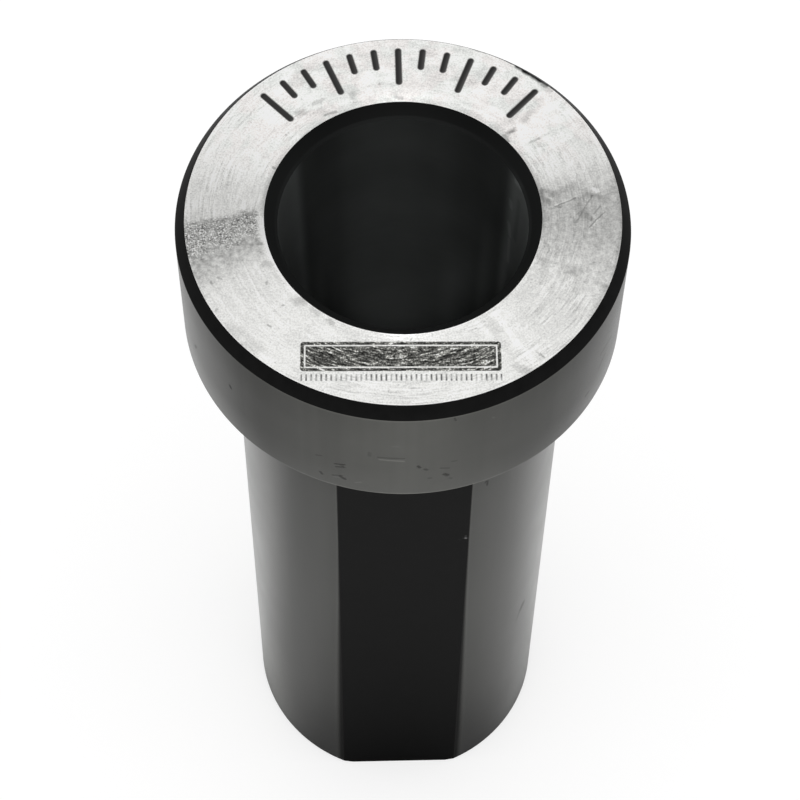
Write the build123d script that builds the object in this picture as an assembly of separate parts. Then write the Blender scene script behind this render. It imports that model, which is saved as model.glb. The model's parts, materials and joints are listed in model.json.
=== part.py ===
"""Morse taper drill sleeve for a 25 mm round tool holder.

The sleeve is turned from one bar: a ground parallel shank that slides into the holder, a
wider flange that stops against the holder's face, and a number 2 Morse taper socket for the
drill.  A flat is milled along the shank for the holder's set screws.  The socket ends at a
wall with a slot milled through it.  The slot drives the drill's tang, and a punch passed
through it from behind knocks the drill out.

Millimetres.  The origin is the centre of the rear end face, +Z runs along the axis towards
the front face, and the clamping flat faces -Y.
"""

from build123d import *
from math import radians, tan
import os

# ---- Shank ----
shank_diameter = 25.0
shank_length = 61.4  # from the rear end to the flange's seat
rear_chamfer = 0.3  # lead-in at the rear end, 45 degrees
clamp_flat_depth = 1.05  # how far the flat lies below the ground surface

# ---- Relief groove, where the grinding wheel runs out beside the flange ----
relief_width = 2.0
relief_depth = 0.3
relief_corner_radius = 0.3  # where the groove meets the seat
relief_runout_angle = 30.0  # the slope back up to the ground surface, from the axis

# ---- Flange ----
flange_diameter = 32.2
flange_thickness = 11.8
front_chamfer_length = 0.95  # along the axis
front_chamfer_angle = 36.0  # from the axis
seat_edge_chamfer = 0.3  # broken edge round the seat, 45 degrees

# ---- Number 2 Morse taper socket ----
gauge_diameter = 17.78  # at the front face
taper_run = 20.02  # the length over which the diameter falls by one
mouth_chamfer = 0.9  # 45 degrees
reamer_runout = 4.3  # the bottom of the socket is a plain bore over this length

# ---- End wall and tang slot, for a tang 6.3 thick and 13.5 wide ----
end_wall = 11.0
tang_slot_width = 6.6
tang_slot_length = 16.8  # over its round ends
tang_slot_chamfer = 0.3  # broken edge at the rear end, 45 degrees

# ---- Worked out from the sizes above ----
shank_radius = shank_diameter / 2
flange_radius = flange_diameter / 2
front_height = shank_length + flange_thickness
front_chamfer_fall = front_chamfer_length * tan(radians(front_chamfer_angle))
relief_radius = shank_radius - relief_depth
relief_start = shank_length - relief_width
relief_slope_length = relief_depth / tan(radians(relief_runout_angle))
clamp_flat_offset = shank_radius - clamp_flat_depth  # from the axis to the flat
runout_height = end_wall + reamer_runout
cutter_overrun = 1.0  # how far a cutter reaches past the metal


def taper_radius(height):
    """Radius of the Morse taper at a height above the rear end."""
    return (gauge_diameter - (front_height - height) / taper_run) / 2


def turned_blank():
    """The solid outside: one outline, turned round the axis."""
    relief_corner = (relief_radius, shank_length)
    with BuildPart() as blank:
        with BuildSketch(Plane.XZ) as outline:
            with BuildLine():
                Polyline(
                    (0, 0),
                    (shank_radius - rear_chamfer, 0),
                    (shank_radius, rear_chamfer),
                    (shank_radius, relief_start),
                    (relief_radius, relief_start + relief_slope_length),
                    relief_corner,
                    (flange_radius - seat_edge_chamfer, shank_length),
                    (flange_radius, shank_length + seat_edge_chamfer),
                    (flange_radius, front_height - front_chamfer_length),
                    (flange_radius - front_chamfer_fall, front_height),
                    (0, front_height),
                    close=True,
                )
            make_face()
            corner = outline.vertices().sort_by_distance(relief_corner)[0]
            fillet(corner, relief_corner_radius)
        revolve(axis=Axis.Z)
    return blank.part


def socket_space():
    """What boring and reaming take out: mouth chamfer, taper and the plain bore below it."""
    mouth_depth = front_height - mouth_chamfer
    with BuildPart() as space:
        with BuildSketch(Plane.XZ):
            with BuildLine():
                Polyline(
                    (0, end_wall),
                    (taper_radius(runout_height), end_wall),
                    (taper_radius(runout_height), runout_height),
                    (taper_radius(mouth_depth), mouth_depth),
                    (taper_radius(mouth_depth) + mouth_chamfer, front_height),
                    (0, front_height),
                    close=True,
                )
            make_face()
        revolve(axis=Axis.Z)
    return space.part


def sleeve():
    """The finished sleeve: the blank, bored, slotted and milled flat."""
    with BuildPart() as body:
        add(turned_blank())
        add(socket_space(), mode=Mode.SUBTRACT)

        # tang slot, milled through the end wall from behind
        with BuildSketch():
            SlotOverall(tang_slot_length, tang_slot_width)
        extrude(amount=end_wall, mode=Mode.SUBTRACT)
        rear_face = body.faces().sort_by(Axis.Z)[0]
        chamfer(rear_face.inner_wires().edges(), tang_slot_chamfer)

        # clamping flat, milled along the whole shank up to the seat
        with BuildSketch():
            with Locations((0, -clamp_flat_offset)):
                Rectangle(
                    shank_diameter,
                    clamp_flat_depth + cutter_overrun,
                    align=(Align.CENTER, Align.MAX),
                )
        extrude(amount=shank_length, mode=Mode.SUBTRACT)
    return body.part


os.makedirs("parts", exist_ok=True)
export_step(sleeve(), "parts/sleeve.step")
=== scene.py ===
import json
import bmesh
import bpy
import numpy as np
from mathutils import Matrix, Vector


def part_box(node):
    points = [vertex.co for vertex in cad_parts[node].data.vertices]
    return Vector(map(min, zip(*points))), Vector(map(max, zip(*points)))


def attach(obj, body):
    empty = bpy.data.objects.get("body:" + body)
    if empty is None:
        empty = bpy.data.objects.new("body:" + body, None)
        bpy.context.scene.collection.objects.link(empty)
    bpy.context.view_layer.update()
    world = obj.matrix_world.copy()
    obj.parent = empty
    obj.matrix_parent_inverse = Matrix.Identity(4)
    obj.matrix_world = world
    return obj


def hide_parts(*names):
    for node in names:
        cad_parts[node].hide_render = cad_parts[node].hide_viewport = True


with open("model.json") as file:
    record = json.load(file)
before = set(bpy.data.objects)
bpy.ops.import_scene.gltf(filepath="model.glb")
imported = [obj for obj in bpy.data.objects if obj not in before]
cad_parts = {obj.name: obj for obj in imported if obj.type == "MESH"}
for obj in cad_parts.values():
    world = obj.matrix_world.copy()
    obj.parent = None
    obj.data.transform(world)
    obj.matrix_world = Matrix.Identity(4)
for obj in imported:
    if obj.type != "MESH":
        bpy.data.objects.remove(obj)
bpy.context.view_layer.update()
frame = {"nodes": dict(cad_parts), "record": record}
print("frame loaded:", sorted(frame["nodes"]))

# sizes that the frame already holds, in metres
mounts = {mount["name"]: mount for mount in frame["record"]["mounts"]}
lowCorner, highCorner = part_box("sleeve")
flangeRadius = (highCorner.x - lowCorner.x) / 2
frontHeight = highCorner.z
seatHeight = mounts["flange_seat"]["pos_m"][2]
flatOffset = -mounts["clamp_flat"]["pos_m"][1]
mm = 0.001
shankRadius = mounts["shank"]["dims"]["r_mm"] * mm
shankMiddle = mounts["shank"]["pos_m"][2]
shankGround = mounts["shank"]["dims"]["length_mm"] * mm
groundStart = shankMiddle - shankGround / 2
groundEnd = shankMiddle + shankGround / 2


sleeveShape = {  # in millimetres and degrees
    "frontChamferLength": 0.95,
    "frontChamferAngle": 36.0,
    "seatEdgeChamfer": 0.3,
    "reliefDepth": 0.3,
    "reliefAngle": 30.0,
    "gaugeDiameter": 17.78,
    "taperRun": 20.02,
    "mouthChamfer": 0.9,
    "reamerRunout": 4.3,
    "endWall": 11.0,
    "slotWidth": 6.6,
    "slotLength": 16.8,
    "slotChamfer": 0.3,
    "edgeRound": 0.06,  # every turned edge is broken by this radius
    "edgeSteps": 5,
    "faceRows": 56,  # across the marked face, and along the shank and the taper
    "sideRows": 8,
    "fineColumn": 0.45,  # degrees between columns where the face is marked
    "coarseColumn": 1.5,
    "plateColumns": 37.0,  # columns are fine this far round from the flat's middle
    "tickColumns": 132.0,  # and again from here on
    "sharpAngle": 19.5,
}

frontMarks = {  # in millimetres and degrees, on the front face
    "tickCount": 13,
    "tickSpread": 43.0,  # half of the arc that the ticks fill, about the far side
    "tickOuter": 14.6,
    "longEvery": 3,  # each third tick is long
    "tickLong": 3.3,
    "tickShort": 1.9,
    "tickWidth": 0.48,
    "tickDepth": 0.06,
    "tickWall": (-0.05, 0.07),  # how far inside its outline a groove begins and is at its depth
    "tickLight": (0.75, -0.66),  # the way to the front right, from which the ticks' painted light comes
    "plateWidth": 13.7,
    "plateHeight": 2.32,
    "plateAcross": -0.46,
    "plateBack": -11.53,
    "plateTurn": -1.0,
    "plateCorner": 0.22,
    "frameInset": 0.3,
    "frameLine": (0.03, 0.08),  # bare this near to the line's middle, and etched this far off
    "rowBack": -13.19,  # the row of fine strokes below the plate
    "rowHeight": 0.52,
    "rowPitch": 0.34,
    "rowStroke": 0.12,
}


tiny = 1e-9  # an allowance when sizes are compared
weldGap = 1e-7  # corners this near to one another become one
slotStep = 0.004
mapSpan = 0.1  # the length of section that fills the turning map


def taperRadius(height):
    # half of the gauge diameter, less half of the depth over the taper's run
    depth = frontHeight - height
    return sleeveShape["gaugeDiameter"] * mm / 2 - depth / sleeveShape["taperRun"] / 2


def roundedCorner(before, corner, after, radius, steps):
    # the arc that touches both sides of a corner, as points from one side to the other
    inWay = (before - corner) / np.linalg.norm(before - corner)
    outWay = (after - corner) / np.linalg.norm(after - corner)
    halfAngle = np.arccos(np.clip(inWay @ outWay, -1, 1)) / 2
    middle = (inWay + outWay) / np.linalg.norm(inWay + outWay)
    centre = corner + middle * radius / np.sin(halfAngle)
    first = corner + inWay * radius / np.tan(halfAngle) - centre
    last = corner + outWay * radius / np.tan(halfAngle) - centre
    swing = np.pi - 2 * halfAngle
    share = np.linspace(0, 1, steps + 1)[:, None]
    return centre + (np.sin((1 - share) * swing) * first + np.sin(share * swing) * last) / np.sin(swing)


def sleeveRows():
    # the section as rows: radius, height, the zone that follows each row, and how each row is cut.
    # Corners are walked from the slot's rear edge out, up, across the face and down the socket.
    shape = {name: value * mm for name, value in sleeveShape.items() if not name.endswith("Angle")}
    tanOf = {name: np.tan(np.radians(sleeveShape[name])) for name in ("frontChamferAngle", "reliefAngle")}
    fall = shape["frontChamferLength"] * tanOf["frontChamferAngle"]
    reliefRadius = shankRadius - shape["reliefDepth"]
    slopeEnd = groundEnd + shape["reliefDepth"] / tanOf["reliefAngle"]
    mouthHeight = frontHeight - shape["mouthChamfer"]
    mouthRadius = taperRadius(mouthHeight)
    runoutHeight = shape["endWall"] + shape["reamerRunout"]
    runoutRadius = taperRadius(runoutHeight)
    edge = shape["edgeRound"]
    # radius, height, rounding, rows on the way to the next corner, zone of that way
    corners = [
        (shankRadius - groundStart, 0.0, edge, 1, "rearChamfer"),
        (shankRadius, groundStart, edge, sleeveShape["sideRows"], "shank"),
        (shankRadius, groundEnd, edge, 1, "relief"),
        (reliefRadius, slopeEnd, edge, 1, "relief"),
        (reliefRadius, seatHeight, shape["reliefDepth"], 1, "seat"),
        (flangeRadius - shape["seatEdgeChamfer"], seatHeight, edge, 1, "seatEdge"),
        (flangeRadius, seatHeight + shape["seatEdgeChamfer"], edge, 3, "flangeSide"),
        (flangeRadius, frontHeight - shape["frontChamferLength"], edge, 1, "frontChamfer"),
        (flangeRadius - fall, frontHeight, edge, sleeveShape["faceRows"], "face"),
        (mouthRadius + shape["mouthChamfer"], frontHeight, edge, 1, "mouth"),
        (mouthRadius, mouthHeight, edge, sleeveShape["sideRows"], "taper"),
        (runoutRadius, runoutHeight, 0.0, 2, "runout"),
        (runoutRadius, shape["endWall"], 0.0, 1, "socketFloor"),
    ]
    # each soft edge of the front chamfer goes with the surface below it
    below = {"frontChamfer": "flangeSide", "face": "frontChamfer"}
    points = np.array([corner[:2] for corner in corners])
    slotEdge = np.array([shape["slotWidth"] / 2, 0.0])
    floorEdge = np.array([shape["slotWidth"] / 2, shape["endWall"]])
    around = np.vstack([slotEdge, points, floorEdge])
    steps = sleeveShape["edgeSteps"]
    stretches, zones, edgeRows = [], [], []
    for index, (*_, rounding, rows, zone) in enumerate(corners):
        before, corner, after = around[index : index + 3]
        arc = roundedCorner(before, corner, after, rounding, steps) if rounding else corner[None, :]
        edgeRows.append(sum(map(len, stretches)) + len(arc) // 2)
        stretches.append(arc)
        zones += [below.get(zone, zone)] * (len(arc) - 1)
        if index + 1 == len(corners):
            break
        # straight rows between this corner's arc and the next one
        target, nextRounding = after, corners[index + 1][2]
        if nextRounding:
            target = roundedCorner(corner, after, around[index + 3], nextRounding, steps)[0]
        share = np.linspace(0, 1, rows + 1)[1:-1, None]
        stretches.append(arc[-1] + (target - arc[-1]) * share)
        zones += [zone] * rows
    zones.append("socketFloor")
    section = np.vstack(stretches)
    # three rows on the slot's own outline follow, and the rear face closes the loop
    grow = np.full(len(section), np.nan)
    slotRows = np.array([
        [0.0, shape["endWall"], 0.0],
        [0.0, shape["slotChamfer"], 0.0],
        [0.0, 0.0, shape["slotChamfer"]],
    ])
    section = np.vstack([section, slotRows[:, :2]])
    grow = np.concatenate([grow, slotRows[:, 2]])
    zones += ["slotWall", "slotChamfer", "rear"]
    walked = np.concatenate([[0], np.cumsum(np.hypot(*np.diff(section, axis=0).T))])
    edgeDistance = np.abs(walked[:, None] - walked[edgeRows]).min(1) / mm
    return section[:, 0], section[:, 1], grow, zones, edgeDistance


def columnAngles():
    # columns round the axis, from the far side round: fine where the face is marked
    flatHalf = np.degrees(np.arccos(flatOffset / shankRadius))
    slotHalf = sleeveShape["slotWidth"] / 2
    centreOut = sleeveShape["slotLength"] / 2 - slotHalf
    boreRadius = taperRadius((sleeveShape["endWall"] + sleeveShape["reamerRunout"]) * mm) / mm
    # where the slot's round end crosses the plain bore
    crossing = (boreRadius**2 + centreOut**2 - slotHalf**2) / (2 * centreOut)
    ledge = np.degrees(np.arcsin(crossing / boreRadius))
    near, far = sleeveShape["plateColumns"], sleeveShape["tickColumns"]
    knots = [flatHalf, near, ledge, 180 - ledge, far, 180]
    knots = [-knot for knot in reversed(knots)] + knots
    fine = [True, False, False, False, True, True, True, False, False, False, True]
    columns = []
    for start, end, isFine in zip(knots[:-1], knots[1:], fine):
        spacing = sleeveShape["fineColumn" if isFine else "coarseColumn"]
        count = int(np.ceil((end - start) / spacing))
        columns.append(np.linspace(start, end, count, endpoint=False))
    return np.radians(np.concatenate(columns)), np.radians(flatHalf)


def slotRadius(angle, grow):
    # distance from the axis to the slot's outline, whose long side lies along X
    half = sleeveShape["slotWidth"] / 2 * mm + grow
    centreOut = (sleeveShape["slotLength"] - sleeveShape["slotWidth"]) / 2 * mm
    along, across = np.abs(np.sin(angle)), np.abs(np.cos(angle))
    side = half / np.maximum(across, tiny)
    end = centreOut * along + np.sqrt(np.maximum(half**2 - (centreOut * across) ** 2, 0))
    return np.where(side * along <= centreOut, side, end)


def tickDistance(x, y):
    # signed distance in millimetres to the nearest tick, a radial stroke with round ends, and how
    # far to the right and front of its middle line a point lies
    marks = frontMarks
    angle = np.radians(np.linspace(-marks["tickSpread"], marks["tickSpread"], marks["tickCount"]))
    isLong = np.arange(marks["tickCount"]) % marks["longEvery"] == 0
    length = np.where(isLong, marks["tickLong"], marks["tickShort"])
    half = marks["tickWidth"] / 2
    outward = np.stack([np.sin(angle), np.cos(angle)])
    along = x[..., None] * outward[0] + y[..., None] * outward[1]
    nearest = np.clip(along, marks["tickOuter"] - length + half, marks["tickOuter"] - half)
    offX, offY = x[..., None] - nearest * outward[0], y[..., None] - nearest * outward[1]
    away = np.hypot(offX, offY) - half
    best = away.argmin(-1)[..., None]
    lightX, lightY = marks["tickLight"]
    side = np.take_along_axis(lightX * offX + lightY * offY, best, -1)[..., 0]
    return away.min(-1), side


def boxDistance(across, back, width, height, corner):
    # signed distance to a rectangle with round corners
    outX = np.abs(across) - width / 2 + corner
    outY = np.abs(back) - height / 2 + corner
    outside = np.hypot(np.maximum(outX, 0), np.maximum(outY, 0))
    return outside + np.minimum(np.maximum(outX, outY), 0) - corner


def plateDistance(x, y):
    # signed distance to the etched field: a plain block with a bare frame line inside its rim
    marks = frontMarks
    turn = np.radians(marks["plateTurn"])
    across = (x - marks["plateAcross"]) * np.cos(turn) + (y - marks["plateBack"]) * np.sin(turn)
    back = (y - marks["plateBack"]) * np.cos(turn) - (x - marks["plateAcross"]) * np.sin(turn)
    return boxDistance(across, back, marks["plateWidth"], marks["plateHeight"], marks["plateCorner"])


def smoothStep(value, low, high):
    # 3 share squared less 2 share cubed, where the share runs from 0 at low to 1 at high
    share = np.clip((value - low) / (high - low), 0, 1)
    return share * share * (3 - 2 * share)


# where each zone lies in the bake's map: left, bottom, width, height; rings are laid flat
atlas = {
    "face": (0.005, 0.005, 0.61, 0.61),
    "rear": (0.135, 0.135, 0.35, 0.35),
    "shank": (0.63, 0.01, 0.36, 0.60),
    "flangeSide": (0.01, 0.63, 0.98, 0.09),
    "taper": (0.01, 0.74, 0.46, 0.22),
    "frontChamfer": (0.01, 0.975, 0.98, 0.018),
    "mouth": (0.49, 0.74, 0.50, 0.018),
    "relief": (0.49, 0.765, 0.50, 0.022),
    "seat": (0.49, 0.795, 0.50, 0.03),
    "rearChamfer": (0.49, 0.833, 0.50, 0.01),
    "seatEdge": (0.49, 0.85, 0.50, 0.01),
    "runout": (0.49, 0.867, 0.50, 0.03),
    "socketFloor": (0.49, 0.903, 0.24, 0.02),
    "slotChamfer": (0.75, 0.903, 0.24, 0.01),
    "slotWall": (0.49, 0.93, 0.50, 0.035),
}
finishOf = {
    "face": "groundFace",
    "shank": "groundSide",
    "flangeSide": "groundSide",
    "seat": "groundSide",
    "mouth": "socketOxide",
    "taper": "socketOxide",
    "runout": "socketOxide",
    "socketFloor": "socketOxide",
    "slotWall": "socketOxide",
}


def buildSleeve(materials):
    # a closed grid: the section's rows by the columns round the axis. On the shank the radius is
    # the smaller of the round's and the flat's; on the slot's rows it is the slot's outline.
    rowRadius, rowHeight, grow, zones, edgeDistance = sleeveRows()
    columnAngle, flatHalf = columnAngles()
    rowCount, columnCount = len(rowRadius), len(columnAngle)
    isSlot = ~np.isnan(grow)
    zoneOfRow = np.array(zones)
    onShank = ~isSlot & (rowHeight <= seatHeight + tiny) & (rowRadius <= shankRadius + tiny)
    onShank &= ~np.isin(zoneOfRow, ["runout", "socketFloor", "taper"])
    # the flat's edges stay on the same two columns at every radius, so columns are spread to suit
    anchor = np.radians(sleeveShape["plateColumns"])
    ratio = np.clip(flatOffset / np.maximum(rowRadius, flatOffset), 0, 1)
    rowHalf = np.where(onShank, np.arccos(ratio), flatHalf)
    size = np.abs(columnAngle)[None, :]
    inner = size * rowHalf[:, None] / flatHalf
    outer = rowHalf[:, None] + (size - flatHalf) * (anchor - rowHalf[:, None]) / (anchor - flatHalf)
    spread = np.where(size <= flatHalf + tiny, inner, np.where(size < anchor, outer, size))
    angle = np.sign(columnAngle)[None, :] * spread
    radius = np.repeat(rowRadius[:, None], columnCount, 1)
    facing = np.cos(angle) > 0.5  # within 60 degrees of the flat's middle
    cut = flatOffset / np.where(facing, np.cos(angle), 1)
    radius = np.where(onShank[:, None] & facing, np.minimum(radius, cut), radius)
    slotLine = slotRadius(angle, np.where(isSlot, grow, 0)[:, None])
    radius = np.where(isSlot[:, None], slotLine, radius)
    x, y = radius * np.sin(angle), -radius * np.cos(angle)
    z = np.repeat(rowHeight[:, None], columnCount, 1)
    ticks, tickSide = tickDistance(x / mm, y / mm)
    plate = plateDistance(x / mm, y / mm)
    onFace = (zoneOfRow == "face")[:, None]
    engraved = frontMarks["tickDepth"] * mm * smoothStep(-ticks, *frontMarks["tickWall"])
    z = np.where(onFace, z - engraved, z)

    row, column = np.meshgrid(np.arange(rowCount), np.arange(columnCount), indexing="ij")
    nextRow, nextColumn = (row + 1) % rowCount, (column + 1) % columnCount
    corners = np.stack([
        row * columnCount + column,
        row * columnCount + nextColumn,
        nextRow * columnCount + nextColumn,
        nextRow * columnCount + column,
    ], -1).reshape(-1, 4)
    mesh = bpy.data.meshes.new("sleeveBody")
    vertices = np.stack([x, y, z], -1).reshape(-1, 3)
    mesh.from_pydata(vertices.tolist(), [], corners.tolist())

    # one map for the bake, and one that runs with the turning: along the section, then round.
    # The slot's rows, which have no section, take steps of slotStep.
    faceZone = np.repeat(zoneOfRow[:, None], columnCount, 1).reshape(-1)
    stepLength = np.hypot(np.diff(rowRadius, append=rowRadius[0]), np.diff(rowHeight, append=rowHeight[0]))
    stepLength[isSlot | np.roll(isSlot, -1)] = slotStep
    startOfStep = np.concatenate([[0], np.cumsum(stepLength)])
    turn = np.concatenate([columnAngle, [columnAngle[0] + 2 * np.pi]]) / (2 * np.pi) + 0.5
    along = np.stack([startOfStep[row], startOfStep[row], startOfStep[row + 1], startOfStep[row + 1]], -1)
    around = np.stack([turn[column], turn[column + 1], turn[column + 1], turn[column]], -1)
    turning = mesh.uv_layers.new(name="turning")
    turning.data.foreach_set("uv", np.stack([along / mapSpan, around], -1).reshape(-1).astype(np.float32))
    cornerX, cornerY = vertices[corners][..., 0], vertices[corners][..., 1]
    bakeU, bakeV = np.zeros(corners.shape), np.zeros(corners.shape)
    alongFlat, aroundFlat = along.reshape(-1, 4), around.reshape(-1, 4)
    for zone, (left, bottom, width, height) in atlas.items():
        mine = faceZone == zone
        if zone in ("face", "rear"):
            span = 2 * rowRadius[zoneOfRow == zone].max() if zone == "face" else 2 * shankRadius
            bakeU[mine] = left + width * (0.5 + cornerX[mine] / span)
            bakeV[mine] = bottom + height * (0.5 + cornerY[mine] / span)
            continue
        rowsHere = np.flatnonzero(zoneOfRow == zone)
        first, last = startOfStep[rowsHere[0]], startOfStep[rowsHere[-1] + 1]
        share = (alongFlat[mine] - first) / (last - first)
        tall = zone == "shank"
        bakeU[mine] = left + width * (share if tall else aroundFlat[mine])
        bakeV[mine] = bottom + height * (aroundFlat[mine] if tall else share)
    bake = mesh.uv_layers.new(name="OFBake")
    bake.data.foreach_set("uv", np.stack([bakeU, bakeV], -1).reshape(-1).astype(np.float32))

    # finishes: the flat is the shank's zone between its two edge columns
    names = list(materials)
    finish = np.array([names.index(finishOf.get(zone, "blackOxide")) for zone in zones])
    finish = np.repeat(finish[:, None], columnCount, 1)
    onFlat = (columnAngle >= -flatHalf - tiny) & (columnAngle < flatHalf - tiny)
    shankRows = onShank & np.roll(onShank, -1)
    finish[np.ix_(shankRows, onFlat)] = names.index("milledFlat")
    for material in materials.values():
        mesh.materials.append(material)
    mesh.polygons.foreach_set("material_index", finish.reshape(-1).astype(np.int32))
    edges = np.repeat(edgeDistance[:, None], columnCount, 1)
    marked = {"tickDistance": ticks, "tickSide": tickSide, "plateDistance": plate, "edgeDistance": edges}
    for name, values in marked.items():
        layer = mesh.attributes.new(name=name, type="FLOAT", domain="POINT")
        layer.data.foreach_set("value", values.reshape(-1).astype(np.float32))

    body = bmesh.new()
    body.from_mesh(mesh)
    bmesh.ops.remove_doubles(body, verts=body.verts, dist=weldGap)
    if body.calc_volume(signed=True) < 0:
        bmesh.ops.reverse_faces(body, faces=body.faces)
    body.to_mesh(mesh)
    body.free()
    mesh.polygons.foreach_set("use_smooth", np.ones(len(mesh.polygons), bool))
    mesh.set_sharp_from_angle(angle=np.radians(sleeveShape["sharpAngle"]))
    mesh.uv_layers.active = mesh.uv_layers["OFBake"]
    mesh.update()
    sleeve = bpy.data.objects.new("sleeveBody", mesh)
    bpy.context.scene.collection.objects.link(sleeve)
    print("sleeve built:", rowCount, "rows by", columnCount, "columns,", len(mesh.polygons), "faces")
    return sleeve


def addNode(tree, kind, inputs=None, **settings):
    # a node with its settings; each input is linked to a socket or set to a value
    item = tree.nodes.new(kind)
    for name, value in settings.items():
        setattr(item, name, value)
    for socket, value in (inputs or {}).items():
        if isinstance(value, bpy.types.NodeSocket):
            tree.links.new(value, item.inputs[socket])
        else:
            item.inputs[socket].default_value = value
    return item


def mathNode(tree, operation, *values):
    return addNode(tree, "ShaderNodeMath", dict(enumerate(values)), operation=operation).outputs["Value"]


def times(tree, value, *factors):
    for factor in factors:
        value = mathNode(tree, "MULTIPLY", value, factor)
    return value


def timesPlus(tree, value, factor, more):
    # value factor + more
    return mathNode(tree, "MULTIPLY_ADD", value, factor, more)


def toned(tree, tone, mask, change):
    # tone (1 + mask change)
    return times(tree, tone, timesPlus(tree, mask, change, 1.0))


def vectorNode(tree, operation, *values, result="Vector"):
    item = addNode(tree, "ShaderNodeVectorMath", dict(enumerate(values)), operation=operation)
    return item.outputs[result]


def scaled(tree, vector, factor):
    inputs = {"Vector": vector, "Scale": factor}
    return addNode(tree, "ShaderNodeVectorMath", inputs, operation="SCALE").outputs["Vector"]


def split(tree, vector):
    return addNode(tree, "ShaderNodeSeparateXYZ", {0: vector}).outputs


def joined(tree, *parts):
    return addNode(tree, "ShaderNodeCombineXYZ", dict(enumerate(parts))).outputs[0]


def mapNode(tree, value, fromLow, fromHigh, toLow, toHigh, blend="SMOOTHSTEP"):
    return addNode(tree, "ShaderNodeMapRange", {
        "Value": value, "From Min": fromLow, "From Max": fromHigh, "To Min": toLow, "To Max": toHigh,
    }, interpolation_type=blend).outputs["Result"]


def noiseNode(tree, vector, detail):
    # noise about zero, in a space where one unit is one patch
    inputs = {"Vector": vector, "Scale": 1.0, "Detail": detail, "Roughness": 0.55}
    return mathNode(tree, "SUBTRACT", addNode(tree, "ShaderNodeTexNoise", inputs).outputs[0], 0.5)


def attributeNode(tree, name):
    return addNode(tree, "ShaderNodeAttribute", attribute_name=name).outputs["Fac"]


def mixColour(tree, share, first, second):
    return addNode(tree, "ShaderNodeMix", {0: share, 6: first, 7: second}, data_type="RGBA").outputs[2]


def startGroup(name, inputs, outputs):
    # a shader node group with named sockets and its inputs' usual values
    group = bpy.data.node_groups.new(name, "ShaderNodeTree")
    for title, value in inputs.items():
        kind = "NodeSocketVector" if isinstance(value, tuple) else "NodeSocketFloat"
        group.interface.new_socket(name=title, in_out="INPUT", socket_type=kind).default_value = value
    for title, kind in outputs.items():
        group.interface.new_socket(name=title, in_out="OUTPUT", socket_type="NodeSocket" + kind)
    return group, group.nodes.new("NodeGroupInput").outputs


def endGroup(group, results):
    addNode(group, "NodeGroupOutput", results)
    return group


def patchPlace(group, given):
    # Place with Size as its unit
    return scaled(group, given["Place"], mathNode(group, "DIVIDE", 1.0, given["Size"]))


def buildAxisPlace():
    # Place in millimetres, and in turning terms: Radius, Height and the way out from the axis
    group, _ = startGroup("axisPlace", {}, {
        "Place": "Vector", "Radius": "Float", "Height": "Float", "Way": "Vector",
    })
    place = scaled(group, addNode(group, "ShaderNodeTexCoord").outputs["Object"], 1 / mm)
    level = vectorNode(group, "MULTIPLY", place, (1, 1, 0))
    return endGroup(group, {
        "Place": place, "Radius": vectorNode(group, "LENGTH", level, result="Value"),
        "Height": split(group, place)["Z"], "Way": vectorNode(group, "NORMALIZE", level),
    })


def buildTurningLines():
    # broken lines round the axis: noise over (Along / Pitch, Reach x, Reach y) of the unit way out,
    # so that a line lasts about a Reach-th part of a radian
    group, given = startGroup("turningLines", {
        "Along": 0.0, "Way": (0.0, 0.0, 0.0), "Pitch": 0.2, "Reach": 7.0, "Detail": 2.0,
    }, {"Value": "Float"})
    parts = split(group, scaled(group, given["Way"], given["Reach"]))
    across = mathNode(group, "DIVIDE", given["Along"], given["Pitch"])
    vector = joined(group, across, parts["X"], parts["Y"])
    return endGroup(group, {"Value": noiseNode(group, vector, given["Detail"])})


def buildCloudyTone():
    # soft patches of the given Size, about zero
    inputs = {"Place": (0.0, 0.0, 0.0), "Size": 1.0, "Detail": 2.0}
    group, given = startGroup("cloudyTone", inputs, {"Value": "Float"})
    return endGroup(group, {"Value": noiseNode(group, patchPlace(group, given), given["Detail"])})


def buildRaggedPlace():
    # Place moved unevenly by up to half of Range, so that what is drawn there has a ragged outline
    inputs = {"Place": (0.0, 0.0, 0.0), "Size": 0.8, "Range": 0.5}
    group, given = startGroup("raggedPlace", inputs, {"Place": "Vector"})
    noise = addNode(group, "ShaderNodeTexNoise", {
        "Vector": patchPlace(group, given), "Scale": 1.0, "Detail": 3.0,
    })
    shift = vectorNode(group, "SUBTRACT", noise.outputs["Color"], (0.5, 0.5, 0.5))
    shift = vectorNode(group, "MULTIPLY", scaled(group, shift, given["Range"]), (1, 1, 0))
    return endGroup(group, {"Place": vectorNode(group, "ADD", given["Place"], shift)})


def buildStrokeMark():
    # a scratch, nick or smudge: Before (1 + Tone mask). The mask is full near the line between
    # Start and End, and gone past a share of the Width and a small blur.
    coreShare, reachShare, blur = 0.2, 0.75, 0.03
    group, given = startGroup("strokeMark", {
        "Before": 1.0, "Place": (0.0, 0.0, 0.0), "Start": (0.0, 0.0, 0.0), "End": (0.0, 0.0, 0.0),
        "Width": 0.2, "Tone": -0.2,
    }, {"Tone": "Float"})
    away = vectorNode(group, "SUBTRACT", given["Place"], given["Start"])
    whole = vectorNode(group, "SUBTRACT", given["End"], given["Start"])
    along, length = (vectorNode(group, "DOT_PRODUCT", side, whole, result="Value") for side in (away, whole))
    held = addNode(group, "ShaderNodeClamp", {"Value": mathNode(group, "DIVIDE", along, length)}).outputs[0]
    gap = vectorNode(group, "DISTANCE", away, scaled(group, whole, held), result="Value")
    core = times(group, given["Width"], coreShare)
    mask = mapNode(group, gap, core, timesPlus(group, given["Width"], reachShare, blur), 1, 0)
    return endGroup(group, {"Tone": toned(group, given["Before"], mask, given["Tone"])})


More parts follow.
